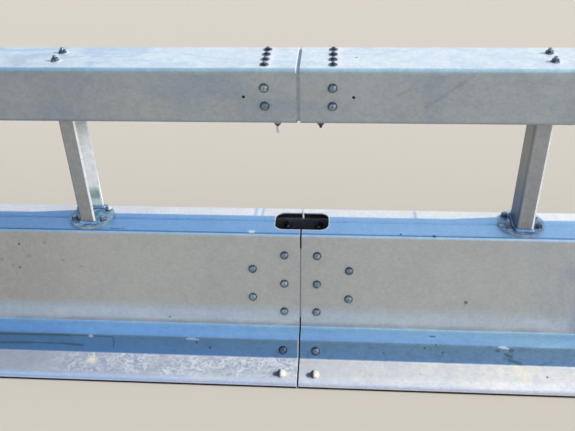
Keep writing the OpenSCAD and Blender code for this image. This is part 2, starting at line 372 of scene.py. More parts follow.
# On the right foot the blue clouds and cream patches follow the painted sheen
sheen_foot = on_foot * sheen_rightward
cloudy = steps(noise(point, 26, 5, 0.9, seed=3.8), 0.44, 0.66) * sheen_foot
colour = blend(cloudy * 0.35, colour, rgb(214, 222, 236))
cream = steps(noise(point, 17, 4, 0.9, (0.6, 1, 1), 5.9), 0.50, 0.68) * sheen_foot
colour = blend(cream * 0.4, colour, rgb(255, 248, 226))

# A strip along the rear edge of the top is painted sunlight beyond the rail's painted shadow, and behind
# each post a wedge of it is painted post shadow
rail_shadow_to, post_shadow_to, post_shadow_slope, shadow_softness = 0.0265, 0.047, 0.0976, 0.003
on_top = steps(up, body_top - 0.004, body_top - 0.001)
from_middle = from_post(along)
post_shadow = (from_middle * post_shadow_slope + post_shadow_to) * from_middle.math("LESS_THAN", 0.0)
past_shadow = across - post_shadow.math("MAXIMUM", rail_shadow_to)
sunlit_strip = steps(past_shadow, -shadow_softness, shadow_softness) * on_top
colour = blend(sunlit_strip, colour, blend(sheen_rightward, rgb(221, 222, 225), rgb(248, 247, 243)))

# The lip of the foot has a painted highlight line over a dark painted contact shadow at the floor
lip_highlight = band(up, 0.0074, 0.0084, 0.0106, 0.0122) * on_foot
colour = blend(lip_highlight * 0.6, colour, rgb(232, 240, 255))
contact_shadow = (1 - steps(up, 0.0062, 0.0076)) * on_foot
colour = blend(contact_shadow * 0.98, colour, rgb(10, 8, 20))

# The left element's end at the joint is painted sunlight, and the rim of the hand hole has a painted
# highlight
sunlit_end = band(along, -0.0054, -0.0044, -0.0010, 0.0010)
end_sunlight = 0.4 - past_top * 0.3 + past_panel * 0.15 + past_ledge * 0.3
colour = blend(sunlit_end * end_sunlight, colour, rgb(252, 253, 255))
hole_half, hole_corner = Vector((0.083, 0.047)), 0.028
from_hole_x = (along.math("ABSOLUTE") - (hole_half.x - hole_corner)).math("MAXIMUM", 0.0)
from_hole_y = (distance - (hole_half.y - hole_corner)).math("MAXIMUM", 0.0)
from_hole = (from_hole_x * from_hole_x + from_hole_y * from_hole_y).math("SQRT") - hole_corner
hole_rim_highlight = (1 - steps(from_hole, 0.0020, 0.0042)) * on_top
colour = blend(hole_rim_highlight * 0.9, colour, rgb(244, 249, 255))

# The inner side of the sheet is darkened with painted shade, so the body looks almost black through the hand
# hole
folded = point.node("ShaderNodeCombineXYZ", None, {0: across.math("ABSOLUTE"), 1: up})


def outside(start, end):
    """How far a point of the section lies outside the face that runs from start to end."""
    heading = (end - start).normalized()
    way = Vector((-heading.y, heading.x, 0))
    return folded.vector("DOT_PRODUCT", way, out=1) - way.xy.dot(start)


outline = [Vector((0, body_top)), top_corner, panel_foot, ledge_edge, riser_foot, foot_edge,
           Vector((foot_edge.x, 0))]
faces = [outside(start, end) for start, end in zip(outline, outline[1:])]
body, step, foot = (faces[i].math("MAXIMUM", faces[i + 1]) for i in (0, 2, 4))
depth = body.math("MINIMUM", step).math("MINIMUM", foot)
shaded_inside = 1 - steps(depth, 0.0003 - sheet, 0.0009 - sheet)
colour = blend(shaded_inside, colour, rgb(112, 114, 118), "MULTIPLY")

# The rear side and the far ends are a plainer grey
plain_from, plain_full = 1.2, 2.3
rear_side = past_top * across.math("GREATER_THAN", 0.0)
far_end = steps(along.math("ABSOLUTE"), plain_from, plain_full)
light = colour.vector("DOT_PRODUCT", (0.21, 0.72, 0.07), out=1)
plain = point.node("ShaderNodeCombineXYZ", None, {0: light * 0.96, 1: light, 2: light * 1.06})
colour = blend((rear_side * 0.75).math("MAXIMUM", far_end * 0.65), colour, plain)

# Marks on the front and the top of the sheet. A kind of stroke has its strength, softness and colour, and
# each stroke its start, end and width. A kind of speck has its strength and colour, and each speck its place
# and width.
white_chips = 0.95, 0.6, white, [
    ((-0.154, -0.062, 0.367), (-0.147, -0.062, 0.367), 0.013),
]
scuffs = 0.75, 1.0, rgb(212, 212, 226), [
    ((0.609, -0.2325, 0.080), (0.619, -0.2335, 0.079), 0.008),
    ((0.600, -0.2325, 0.080), (0.628, -0.2350, 0.077), 0.004),
]
faint_scuffs = 0.5, 1.0, rgb(196, 202, 226), [
    ((-0.342, -0.2335, 0.0785), (-0.325, -0.2345, 0.0780), 0.007),
    ((-0.350, -0.2345, 0.0775), (-0.312, -0.2355, 0.0765), 0.004),
    ((-0.656, -0.2340, 0.0780), (-0.650, -0.2345, 0.0775), 0.008),
]
pale_patches = 0.95, 0.9, rgb(255, 247, 228), [
    ((-0.6415, -0.290, 0.0326), (-0.6400, -0.292, 0.0323), 0.026),
    ((-0.6407, -0.266, 0.0356), (-0.6354, -0.282, 0.0336), 0.006),
    ((0.650, -0.272, 0.0348), (0.674, -0.304, 0.0307), 0.030),
]
# Painted shadows of the front foot bolts, reaching left of each head
bolt_shadows = 0.85, 0.5, rgb(62, 80, 122), [
    ((-0.0580, -0.3215, 0.0286), (-0.0680, -0.3225, 0.0285), 0.016),
    ((0.0420, -0.3215, 0.0286), (0.0320, -0.3225, 0.0285), 0.016),
]
blue_streaks = 0.7, 0.8, rgb(160, 200, 232), [
    ((-0.149, 0.024, 0.367), (-0.149, 0.074, 0.367), 0.010),
    ((-0.126, 0.024, 0.367), (-0.126, 0.074, 0.367), 0.008),
    ((0.352, 0.028, 0.367), (0.352, 0.064, 0.367), 0.009),
    ((-0.632, -0.051, 0.367), (-0.602, -0.043, 0.367), 0.016),
]
smears = 0.68, 0.9, rgb(48, 68, 82), [
    ((-0.947, -0.2350, 0.0766), (-0.720, -0.2342, 0.0780), 0.006),
    ((-0.720, -0.2342, 0.0780), (-0.660, -0.2340, 0.0782), 0.003),
    ((-0.946, -0.2506, 0.0540), (-0.845, -0.2493, 0.0559), 0.007),
    ((-0.845, -0.2493, 0.0559), (-0.744, -0.2488, 0.0566), 0.004),
    ((-0.744, -0.2488, 0.0566), (-0.679, -0.2511, 0.0533), 0.007),
    ((0.594, -0.2390, 0.0708), (0.600, -0.2390, 0.0708), 0.008),
    ((0.634, -0.2380, 0.0722), (0.641, -0.2380, 0.0722), 0.009),
    ((0.619, -0.2445, 0.0629), (0.638, -0.2490, 0.0563), 0.007),
    ((0.632, -0.2545, 0.0484), (0.664, -0.2600, 0.0404), 0.009),
]
scratches = 0.75, 0.6, rgb(46, 58, 72), [
    ((-0.591, -0.0600, 0.367), (-0.568, -0.0592, 0.367), 0.0042),
    ((-0.568, -0.0592, 0.367), (-0.548, -0.0588, 0.367), 0.0022),
    ((-0.647, -0.2340, 0.0781), (-0.585, -0.2350, 0.0766), 0.0022),
    ((-0.585, -0.2350, 0.0766), (-0.578, -0.2423, 0.0660), 0.0030),
    ((-0.578, -0.2423, 0.0660), (-0.581, -0.2527, 0.0510), 0.0034),
    ((0.400, -0.2010, 0.0847), (0.413, -0.2010, 0.0847), 0.0050),
]
specks = 0.75, rgb(50, 58, 70), [
    ((-0.8826, -0.0908, 0.3226), 0.0075), ((-0.8869, -0.1165, 0.2502), 0.0065),
    ((-0.413, -0.167, 0.106), 0.006), ((0.504, -0.143, 0.175), 0.011), ((-0.318, -0.240, 0.069), 0.007),
    ((-0.276, -0.248, 0.057), 0.008), ((0.414, -0.232, 0.081), 0.006), ((0.433, -0.245, 0.062), 0.006),
    ((0.380, -0.239, 0.072), 0.007), ((0.257, -0.249, 0.056), 0.005), ((0.735, -0.302, 0.031), 0.007),
    ((0.301, -0.062, 0.367), 0.008), ((0.400, -0.068, 0.366), 0.011),
]
faint_specks = 0.25, rgb(78, 80, 84), [
    ((-0.8820, -0.0872, 0.3326), 0.006), ((-0.8001, -0.0887, 0.3285), 0.011),
    ((-0.9088, -0.1144, 0.2561), 0.009), ((-0.8542, -0.1035, 0.2867), 0.011),
    ((-0.7453, -0.1078, 0.2746), 0.009), ((-0.9434, -0.1081, 0.2737), 0.010),
    ((-0.6882, -0.1138, 0.2576), 0.008), ((0.364, -0.306, 0.030), 0.008),
    ((0.500, -0.147, 0.164), 0.006),
]
stroke_kinds = blue_streaks, smears, scratches, white_chips, scuffs, faint_scuffs
for strength, softness, shown, marks in stroke_kinds:
    mask = any_of([stroke(point, *mark, softness) for mark in marks])
    colour = blend(mask * strength, colour, shown)
for strength, softness, shown, marks in (pale_patches, bolt_shadows):
    mask = any_of([stroke(point, *mark, softness) for mark in marks]) * on_foot
    colour = blend(mask * strength, colour, shown)
for strength, shown, marks in (faint_specks, specks):
    mask = any_of([speck(point, *mark) for mark in marks])
    colour = blend(mask * strength, colour, shown)
pitted = speck(point, (0.425, -0.240, 0.070), 0.040, 0.9) * steps(noise(point, 230, 2, seed=5.1), 0.48, 0.60)
colour = blend(pitted * 0.55, colour, rgb(48, 64, 84))
finish_zinc(shell_finish, point, colour, 0.16)
for end in ("left", "right"):
    for side in ("front", "rear"):
        dress(f"{end}_{side}_shell", shell_finish)

# The joint plates and straps
# Flat steel plates behind the panels, and straps folded from sheet behind the risers and the feet.
# Both elements are bolted to them. They are dipped in zinc, and the straps are painted near black with the
# shade of the gaps they show through.
joint_finish, point, _ = zinc("joint_zinc")
finish_zinc(joint_finish, point, rgb(180, 184, 190))
shaded_strap_finish, point, _ = zinc("shaded_strap_zinc")
finish_zinc(shaded_strap_finish, point, rgb(14, 16, 22))
for side in ("front", "rear"):
    dress(f"{side}_joint_plate", joint_finish)
    dress(f"{side}_joint_strap", shaded_strap_finish)

# The bolts of the body joint
# Round-headed steel bolts through shell and joint piece, with a washer and a nut inside, dipped in zinc.
# Their zinc has weathered to a dark blue grey, with painted shade darkest round the rim of the head.
left, right, front, rear = -1, 1, -1, 1
seat = 0.0003
joint_stack = 2 * sheet + seat
near_column, far_column = 0.050, 0.148
panel_start, panel_pitch = 0.066, 0.091
riser_start, foot_inset = 0.030, 0.029
round_bolt = {"Head Sides": 28, "Head Radius": 0.0128, "Head Height": 0.0085, "Rim Height": 0.0015,
              "Head Crown": 2.0, "Grip": joint_stack, "Shank Radius": 0.008, "Washer Radius": 0.015,
              "Washer Thickness": 0.003, "Nut Radius": 0.0139, "Nut Height": 0.013, "Nut Side": 0.82,
              "Nut Crown": 5.0, "Tail": 0.006}


def down_face(start, end, distance):
    """A point on the face that runs from start to end in the section, and the way out of that face."""
    heading = (end - start).normalized()
    return start + heading * distance, Vector((-heading.y, heading.x))


def at_joint(side, end, distance, face_point, face_out):
    """A point and a way out of the front or rear face, at a distance to the left or right of the joint."""
    place = Vector((end * distance, side * face_point.x, face_point.y))
    return place, Vector((0, side * face_out.x, face_out.y))


def prism(tree, sides, radius, height, rim, crown, base, facing=1, shade=None):
    """A head, nut or washer with its flat face at base, rounded above the rim, turned down if facing is -1.
    The share of the way out to the rim, or the given shade, is kept on its points for the finish."""
    drum = tree.node("GeometryNodeMeshCylinder", {"fill_type": "TRIANGLE_FAN"},
                     {"Vertices": sides, "Side Segments": 1, "Fill Segments": 4, "Radius": radius,
                      "Depth": height})
    position = tree.node("GeometryNodeInputPosition")
    x, y, z = (tree.node("ShaderNodeSeparateXYZ", None, {0: position}, out=i) for i in range(3))
    share = ((x * x + y * y).math("SQRT") / radius).math("MINIMUM", 0.999)
    rounded = (1 - share.math("POWER", crown)).math("POWER", 1 / crown)
    top = z.math("GREATER_THAN", 0.0) * (rim + (height - rim) * rounded)
    moved = tree.node("ShaderNodeCombineXYZ", None, {"X": x, "Y": y * facing, "Z": base + top * facing})
    shaded = tree.node("GeometryNodeStoreNamedAttribute", {"data_type": "FLOAT", "domain": "POINT"},
                       {"Geometry": drum, "Name": "rim", "Value": share if shade is None else shade})
    return tree.node("GeometryNodeSetPosition", None, {"Geometry": shaded, "Position": moved})


def thread(tree, radius, length, base):
    """The threaded end of a bolt, running down from base, with a fine helical ridge."""
    pitch, ridge = 0.002, 0.05
    drum = tree.node("GeometryNodeMeshCylinder", {"fill_type": "TRIANGLE_FAN"},
                     {"Vertices": 12, "Side Segments": 14, "Fill Segments": 1, "Radius": radius,
                      "Depth": length})
    position = tree.node("GeometryNodeInputPosition")
    x, y, z = (tree.node("ShaderNodeSeparateXYZ", None, {0: position}, out=i) for i in range(3))
    wave = (z * (2 * math.pi / pitch) + y.math("ARCTAN2", x)).math("SINE")
    swell = wave * ridge + (1 - ridge)
    moved = tree.node("ShaderNodeCombineXYZ", None,
                      {"X": x * swell, "Y": y * swell, "Z": z + base - length / 2})
    return tree.node("GeometryNodeSetPosition", None, {"Geometry": drum, "Position": moved})


def grown(name, mesh, sizes, grow):
    """A piece that a node tree grows from a mesh. sizes are the tree's named inputs and their values."""
    tree = bpy.data.node_groups.new(name, "GeometryNodeTree")
    tree.interface.new_socket("Places", in_out="INPUT", socket_type="NodeSocketGeometry")
    sockets = {}
    for label, value in sizes.items():
        kind = "NodeSocketInt" if isinstance(value, int) else "NodeSocketFloat"
        sockets[label] = tree.interface.new_socket(label, in_out="INPUT", socket_type=kind)
    tree.interface.new_socket("Made", in_out="OUTPUT", socket_type="NodeSocketGeometry")
    given = tree.nodes.new("NodeGroupInput")
    size = {label: Wire(tree, given.outputs[label]) for label in sizes}
    made = grow(Wire(tree), Wire(tree, given.outputs["Places"]), size)
    Wire(tree).node("NodeGroupOutput", None, {"Made": made})
    piece = bpy.data.objects.new(name, mesh)
    scene.collection.objects.link(piece)
    modifier = piece.modifiers.new("grown", "NODES")
    modifier.node_group = tree
    for label, value in sizes.items():
        modifier[sockets[label].identifier] = value
    evaluated = piece.evaluated_get(bpy.context.evaluated_depsgraph_get())
    result = bpy.data.meshes.new_from_object(evaluated)
    piece.modifiers.remove(modifier)
    piece.data = result
    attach(piece, "root")
    return piece


def bolts(name, places, sizes, finish):
    """Bolts with their head on the way out of each place, and their nut beyond what they hold."""
    def grow(tree, points, size):
        grip, washer, nut = size["Grip"], size["Washer Thickness"], size["Nut Height"]
        round_head = sizes["Head Sides"] > 6
        head = prism(tree, size["Head Sides"], size["Head Radius"], size["Head Height"], size["Rim Height"],
                     size["Head Crown"], 0.0)
        head = tree.node("GeometryNodeSetShadeSmooth", None, {"Geometry": head, "Shade Smooth": round_head})
        shank = prism(tree, 12, size["Shank Radius"], grip, grip, 2.0, 0.0, -1, 1.0)
        ring = prism(tree, 24, size["Washer Radius"], washer, washer, 2.0, 0 - grip, -1, 0.6)
        hexagon = prism(tree, 6, size["Nut Radius"], nut, nut * size["Nut Side"], size["Nut Crown"],
                        0 - grip - washer, -1, 1.0)
        end = thread(tree, size["Shank Radius"], size["Tail"], 0 - grip - washer - nut)
        one = tree.node("GeometryNodeJoinGeometry", None, {"Geometry": [head, shank, ring, hexagon, end]})
        way = tree.node("GeometryNodeInputNamedAttribute", {"data_type": "FLOAT_VECTOR"},
                        {"Name": "outward"})
        aligned = tree.node("FunctionNodeAlignRotationToVector", {"axis": "Z"}, {"Vector": way})
        spin = tree.node("FunctionNodeRandomValue", {"data_type": "FLOAT_VECTOR"},
                         {0: (0, 0, 0), 1: (0, 0, 2 * math.pi), "Seed": 4})
        placed = tree.node("GeometryNodeInstanceOnPoints", None,
                           {"Points": points, "Instance": one, "Rotation": aligned})
        placed = tree.node("GeometryNodeRotateInstances", None,
                           {"Instances": placed, "Rotation": spin, "Local Space": True})
        real = tree.node("GeometryNodeRealizeInstances", None, {"Geometry": placed})
        return tree.node("GeometryNodeSetMaterial", None, {"Geometry": real, "Material": finish})

    first_wear, wear_step = 0.31, 0.618
    mesh = bpy.data.meshes.new(name)
    mesh.from_pydata([place for place, _ in places], [], [])
    outward = mesh.attributes.new("outward", "FLOAT_VECTOR", "POINT")
    outward.data.foreach_set("vector", [part for _, way in places for part in way])
    worn = mesh.attributes.new("worn", "FLOAT", "POINT")
    worn.data.foreach_set("value", [(first_wear + wear_step * i) % 1 for i in range(len(places))])
    return grown(name, mesh, sizes, grow)


def kept(point, name):
    """A value that a piece keeps on its own points."""
    return point.node("ShaderNodeAttribute", {"attribute_name": name}, None, out="Fac")


bolt_flecks, bolt_roughness = 0.5, 0.34


def bolt_colour(point, middle, rim, paleness=0.35):
    """A bolt's colour, from the middle of its faces to their rims, which are darkened with painted shade.
    Some heads are paler than others, some have a dark dimple, and all are spotted and carry painted glints."""
    share, worn = kept(point, "rim"), kept(point, "worn")
    rim_shade = steps(share, 0.45, 0.95)
    dimple = (1 - steps(share, 0.10, 0.24)) * steps(worn, 0.4, 0.8)
    glints = steps(noise(point, 130, 3, 0.8, seed=8.8), 0.56, 0.68)
    spots = steps(noise(point, 170, 3, 0.8, seed=1.3), 0.52, 0.66)
    colour = blend(worn * paleness, middle, rgb(206, 212, 216))
    colour = blend(rim_shade.math("MAXIMUM", dimple * 0.8).math("MAXIMUM", spots * 0.6), colour, rim)
    return blend(glints * paleness, colour, rgb(226, 232, 238))


def bolt_zinc(name, middle, rim, metal=0.6, paleness=0.35):
    """The finish of a bolt with the given colours in the middle and at the rim."""
    made, point, _ = zinc(name, metal)
    finish_zinc(made, point, bolt_colour(point, middle, rim, paleness), bolt_flecks, bolt_roughness)
    return made


bolt_finish = bolt_zinc("bolt_zinc", rgb(116, 132, 144), rgb(60, 74, 90), 0.6, 0.40)
# The riser bolts are painted darker with the shade that falls on the riser
shaded_riser_finish = bolt_zinc("shaded_riser_bolt_zinc", rgb(56, 76, 102), rgb(22, 34, 56), 0.6, 0.22)
panel_places, riser_places, foot_places = [], [], []
foot_face = foot_edge - riser_foot
riser_spot = down_face(ledge_edge, riser_foot, riser_start)
foot_spot = down_face(riser_foot, foot_edge, foot_face.length * (1 - foot_inset / foot_face.x))
for side in (front, rear):
    for end in (left, right):
        for column, rows in ((near_column, (0, 1, 2)), (far_column, (0.5, 1.5))):
            for row in rows:
                spot = down_face(top_corner, panel_foot, panel_start + row * panel_pitch)
                panel_places.append(at_joint(side, end, column, *spot))
        riser_places.append(at_joint(side, end, near_column, *riser_spot))
        foot_places.append(at_joint(side, end, near_column, *foot_spot))
bolts("panel_bolts", panel_places, round_bolt, bolt_finish)
bolts("riser_bolts", riser_places, round_bolt, shaded_riser_finish)

# The heads on the feet are taller, cream with painted sunlight on the right and dark blue with painted shade
# on the left
foot_bolt = {**round_bolt, "Head Radius": 0.0138, "Head Height": 0.0135, "Rim Height": 0.004,
             "Head Crown": 2.4, "Nut Height": 0.008, "Washer Thickness": 0.002, "Tail": 0.002}
foot_finish, point, (along, across, up) = zinc("foot_bolt_zinc", 0.3)
from_bolt = along - along.math("SIGN") * near_column
shaded_side = 1 - steps(from_bolt, -0.0060, 0.0010)
spots = steps(noise(point, 170, 3, 0.8, seed=1.3), 0.58, 0.66) * 0.5
colour = blend(shaded_side.math("MAXIMUM", spots), rgb(238, 231, 214), rgb(50, 64, 98))
finish_zinc(foot_finish, point, colour, 0.3, bolt_roughness)
bolts("foot_bolts", foot_places, foot_bolt, foot_finish)

# The base plates
# Round plates cut from 10 mm steel, welded under the posts and bolted down on the top of the body.
# They are a stained blue of painted shade and sky reflection like the body top, paler on the right with
# painted sunlight, with a grey cut edge.
plate_finish, point, (along, across, up) = zinc("plate_zinc")
plate_low, plate_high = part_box("base_plate_1")
stain = steps(noise(point, 34, 5, 1.2, seed=4.4), 0.40, 0.62)
sunlit_right = steps(from_post(along), 0.015, 0.065)
colour = blend(stain, rgb(116, 156, 190), rgb(174, 213, 240))
colour = blend(sunlit_right * 0.45, colour, rgb(186, 216, 232))
cut_rim = 1 - steps(up, plate_high.z - 0.0012, plate_high.z - 0.0004)
finish_zinc(plate_finish, point, blend(cut_rim, colour, rgb(170, 176, 180)), 0.5)
for i in numbers:
    dress(f"base_plate_{i}", plate_finish)

# The bolts of the base plates
# Steel hexagon bolts dipped in zinc, four to a plate. They are put up from inside the body, with their nuts
# on top.
base_hole_l, base_hole_w = 0.090, 0.058
base_bolt = {**round_bolt, "Head Sides": 6, "Head Radius": 0.0110, "Head Height": 0.0080,
             "Rim Height": 0.0062, "Head Crown": 5.0, "Grip": sheet + plate_high.z - plate_low.z,
             "Shank Radius": 0.006, "Washer Radius": 0.0118, "Washer Thickness": 0.0025,
             "Nut Radius": 0.0110, "Nut Height": 0.0095, "Tail": 0.0045}
base_places = []
for i in numbers:
    for x in (left, right):
        for y in (front, rear):
            place = Vector((middles[i - 1] + x * base_hole_l / 2, y * base_hole_w / 2, body_top - sheet))
            base_places.append((place, Vector((0, 0, -1))))

# Right of the posts the nuts on the left elements are a paler blue of painted shade, and all the rear ones
# have white sides of painted sunlight
base_finish, point, (along, across, up) = zinc("base_bolt_zinc", 0.3)
colour = bolt_colour(point, rgb(142, 162, 174), rgb(62, 84, 106), 0.6)
upper_sheen_from, upper_sheen_full = -1.15, 0.2
from_nut = from_post(along) - base_hole_l / 2
at_nut = steps(from_nut, -0.020, -0.014) * steps(up, plate_high.z + 0.003, plate_high.z + 0.009)
toward_left = 1 - steps(along, upper_sheen_from, upper_sheen_full)
colour = blend(at_nut * toward_left * 0.55, colour, rgb(158, 180, 208))
sunlit_side = steps(from_nut, 0.0005, 0.0045).math("MAXIMUM", steps(0 - from_nut, 0.0055, 0.0080) * 0.7)
at_rear = across.math("GREATER_THAN", 0.0)
colour = blend(sunlit_side * at_nut * at_rear, colour, rgb(255, 253, 246))
finish_zinc(base_finish, point, colour, bolt_flecks, bolt_roughness)
bolts("base_bolts", base_places, base_bolt, base_finish)

# The posts
# Short channels folded from the same sheet, open to the right, with a plate welded to either end.
# Their cut edges carry a white painted highlight, the inside is painted bright with reflected sunlight, and
# the back of the channel is a dull blue with painted shade.
post_finish, point, (along, across, up) = zinc("post_zinc")
post_low, post_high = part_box("post_1")
post_half = (post_high - post_low) / 2
from_middle = from_post(along)
# The cut edges are a painted highlight
edge_highlight = steps(from_middle, post_half.x - 0.0056, post_half.x - 0.0040)
flange, web = post_half.y - sheet, sheet - post_half.x
between_flanges = 1 - steps(across.math("ABSOLUTE"), flange + 0.0004, flange + 0.0008)
inside = between_flanges * steps(from_middle, web - 0.0010, web - 0.0004)
back = 1 - steps(from_middle, 0.0015 - post_half.x, 0.0100 - post_half.x)
height = (up - post_low.z) / (post_high.z - post_low.z)
# The flanges are painted lighter towards the top, and the back of the channel blue low down with painted
# shade
flange_colour = blend(height, rgb(152, 154, 154), rgb(168, 170, 170))
back_colour = blend(steps(height, 0.05, 0.50), rgb(86, 114, 142), rgb(146, 147, 142))
colour = blend(back, flange_colour, back_colour)
# A painted highlight along the bend
bend = band(from_middle + post_half.x, 0.003, 0.006, 0.010, 0.014)
colour = blend(bend * 0.25, colour, rgb(196, 202, 204))
# The inside is painted near white with reflected sunlight, with stained bands low down
stained_low, stained_mid, reflected_sun = rgb(158, 178, 176), rgb(176, 194, 192), rgb(255, 255, 252)
inside_colour = ramp(height, [(0.00, rgb(160, 182, 172)), (0.03, rgb(236, 246, 234)),
                              (0.06, rgb(228, 240, 232)), (0.08, stained_low), (0.12, stained_mid),
                              (0.16, reflected_sun), (0.50, reflected_sun), (0.60, rgb(218, 226, 223)),
                              (0.72, rgb(186, 195, 193)), (1.00, rgb(160, 170, 168))])
drips = steps(noise(point, 30, 4, 0.6, (1, 1, 0.3), 6.6), 0.50, 0.72)
colour = blend(inside, colour, blend(drips * 0.3, inside_colour, rgb(196, 208, 204)))
colour = blend(edge_highlight, colour, white)
metal = 0.5 - inside.math("MAXIMUM", edge_highlight) * 0.5
finish_zinc(post_finish, point, colour, 0.25, Metallic=metal)
for i in numbers:
    dress(f"post_{i}", post_finish)

# The welds of the posts
# A bead of steel laid by hand all round the foot and the head of each channel, before the dip.
# The zinc on it is a patchy blue, and darker with painted shade behind the channel.
fold_in = 0.008
foot_leg, head_leg, ripple_swell = 0.0075, 0.005, 0.07
upwards, downwards = math.pi, math.pi / 2


def weld_path(middle, height):
    """The closed line round a channel in plan, with the radius of each corner."""
    x, y = post_half.x, post_half.y
    tight = sheet / 2 - 0.0002
    outline = [(x, -y, tight), (-x, -y, fold_in + sheet), (-x, y, fold_in + sheet), (x, y, tight),
               (x, y - sheet, tight), (sheet - x, y - sheet, fold_in), (sheet - x, sheet - y, fold_in),
               (x, sheet - y, tight)]
    return [((middle + a, b, height), radius) for a, b, radius in outline]


def welds(name, heights, leg, facing, finish):
    """Quarter-round beads of a leg's size in the corner between each channel and its plate."""
    def grow(tree, path, size):
        bend = tree.node("GeometryNodeInputNamedAttribute", {"data_type": "FLOAT"}, {"Name": "bend"})
        line = tree.node("GeometryNodeMeshToCurve", None, {"Mesh": path})
        line = tree.node("GeometryNodeFilletCurve", {"mode": "POLY"},
                         {"Curve": line, "Count": 6, "Radius": bend})
        line = tree.node("GeometryNodeResampleCurve", {"mode": "LENGTH"},
                         {"Curve": line, "Length": size["Step"]})
        line = tree.node("GeometryNodeSetCurveNormal", {"mode": "Z_UP"}, {"Curve": line})
        length = tree.node("GeometryNodeSplineParameter", None, None, out="Length")
        swell = (length * (2 * math.pi) / size["Ripple"]).math("SINE") * ripple_swell + 1
        line = tree.node("GeometryNodeSetCurveRadius", None, {"Curve": line, "Radius": swell})
        section = tree.node("GeometryNodeCurveArc", {"mode": "RADIUS"},
                            {"Resolution": 6, "Radius": size["Leg"], "Start Angle": size["Start Angle"],
                             "Sweep Angle": math.pi / 2, "Connect Center": True})
        bead = tree.node("GeometryNodeCurveToMesh", None, {"Curve": line, "Profile Curve": section})
        bead = tree.node("GeometryNodeSetShadeSmooth", None, {"Geometry": bead})
        bead = tree.node("GeometryNodeRealizeInstances", None, {"Geometry": bead})
        return tree.node("GeometryNodeSetMaterial", None, {"Geometry": bead, "Material": finish})

    mesh = bpy.data.meshes.new(name)
    paths = [weld_path(middle, height) for middle, height in zip(middles, heights)]
    corners = [corner for line in paths for corner in line]
    sides = len(paths[0])
    edges = [(first + j, first + (j + 1) % sides)
             for first in range(0, len(corners), sides) for j in range(sides)]
    mesh.from_pydata([place for place, _ in corners], edges, [])
    bend = mesh.attributes.new("bend", "FLOAT", "POINT")
    bend.data.foreach_set("value", [radius for _, radius in corners])
    sizes = {"Leg": leg, "Step": 0.002, "Ripple": 0.007, "Start Angle": facing}
    return grown(name, mesh, sizes, grow)


weld_finish, point, (along, across, up) = zinc("weld_zinc", 0.6)
shaded_far_side = 1 - steps(from_post(along), -post_half.x, 0.004 - post_half.x)
spatter = steps(noise(point, 70, 4, 1.0, seed=2.9), 0.48, 0.66)
colour = blend(spatter * 0.5, rgb(124, 162, 204), rgb(216, 232, 248))
colour = blend(shaded_far_side * 0.8, colour, rgb(66, 92, 128))
finish_zinc(weld_finish, point, colour, flecks=0.5, rough=0.4, relief=0.3)
welds("post_foot_welds", [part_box(f"post_{i}")[0].z for i in numbers], foot_leg, upwards, weld_finish)
welds("post_head_welds", [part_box(f"post_{i}")[1].z for i in numbers], head_leg, downwards, weld_finish)

# The head plates
# Flat steel plates with rounded corners, welded on the posts and drawn up under the top of the rail.
# They have the finish of the base plates.
for i in numbers:
    dress(f"head_plate_{i}", plate_finish)

# The rails
# Box rails of folded steel sheet, open underneath between two lips, held by the studs of the head plates.
# Their tops are almost white with painted sunlight, their sides are a soft cloudy grey, and their top folds
# are bluer with painted sky reflection.
rail_low, rail_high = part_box("left_rail")
rail_depth = rail_high.z - rail_low.z
# Colours down the side by the depth below the rail's top, at the left end and at the right end, which a
# painted sheen makes brighter
rail_colours = [
    (0.0000, rgb(204, 219, 229), rgb(227, 235, 237)),
    (0.0005, rgb(204, 219, 229), rgb(227, 235, 237)),
    (0.0020, rgb(134, 168, 190), rgb(170, 198, 212)),
    (0.0100, rgb(128, 160, 178), rgb(152, 176, 186)),
    (0.0135, rgb(152, 160, 167), rgb(168, 176, 180)),
    (0.1600, rgb(151, 160, 168), rgb(167, 175, 180)),
]
rail_finish, point, (along, across, up) = zinc("rail_zinc")
down = (rail_high.z - up) / rail_depth
# A painted sheen brightens the rail's colours towards the right end
sheen_rightward = steps(along, upper_sheen_from, upper_sheen_full)
colour = zones(down, rail_depth, rail_colours, sheen_rightward)

# On the top: blue drifts, a painted highlight right of the nuts at the joint, and a white rear edge
side_hole_x, head_hole_w = 0.091, 0.062
on_rail_top = 1 - steps(down, 0.004, 0.010)
drift = steps(noise(point, 13, 5, 1.4, (0.45, 1, 1), 8.8), 0.44, 0.62)
colour = blend(drift * on_rail_top * (0.85 - sheen_rightward * 0.55), colour, rgb(208, 228, 245), "MULTIPLY")
beside_nuts = along - along.math("SIGN") * side_hole_x
nut_highlight = band(beside_nuts, 0.006, 0.010, 0.018, 0.028) * on_rail_top
colour = blend(nut_highlight * 0.5, colour, rgb(255, 246, 248))
bright_edge = on_rail_top * steps(across, rail_high.y - 0.010, rail_high.y - 0.006)
colour = blend(bright_edge * 0.7, colour, white)

# On the sides: grey and tan blotches, and the end of the left rail painted bright with sunlight
on_side = steps(down, 0.08, 0.12)
blotch = steps(noise(point, 6, 4, 0.7, (0.7, 1, 1), 2.2), 0.44, 0.66) * on_side
colour = blend(blotch * 0.5, colour, rgb(140, 155, 172))
tan = steps(noise(point, 8, 4, 0.7, (0.6, 1, 1), 6.4), 0.46, 0.66) * on_side
colour = blend(tan * 0.35, colour, rgb(172, 171, 167))
sunlit_end_edge = band(along, -0.0078, -0.0062, -0.0040, -0.0030) * (1 - steps(down, 0.06, 0.09))
colour = blend(sunlit_end_edge, colour, white)

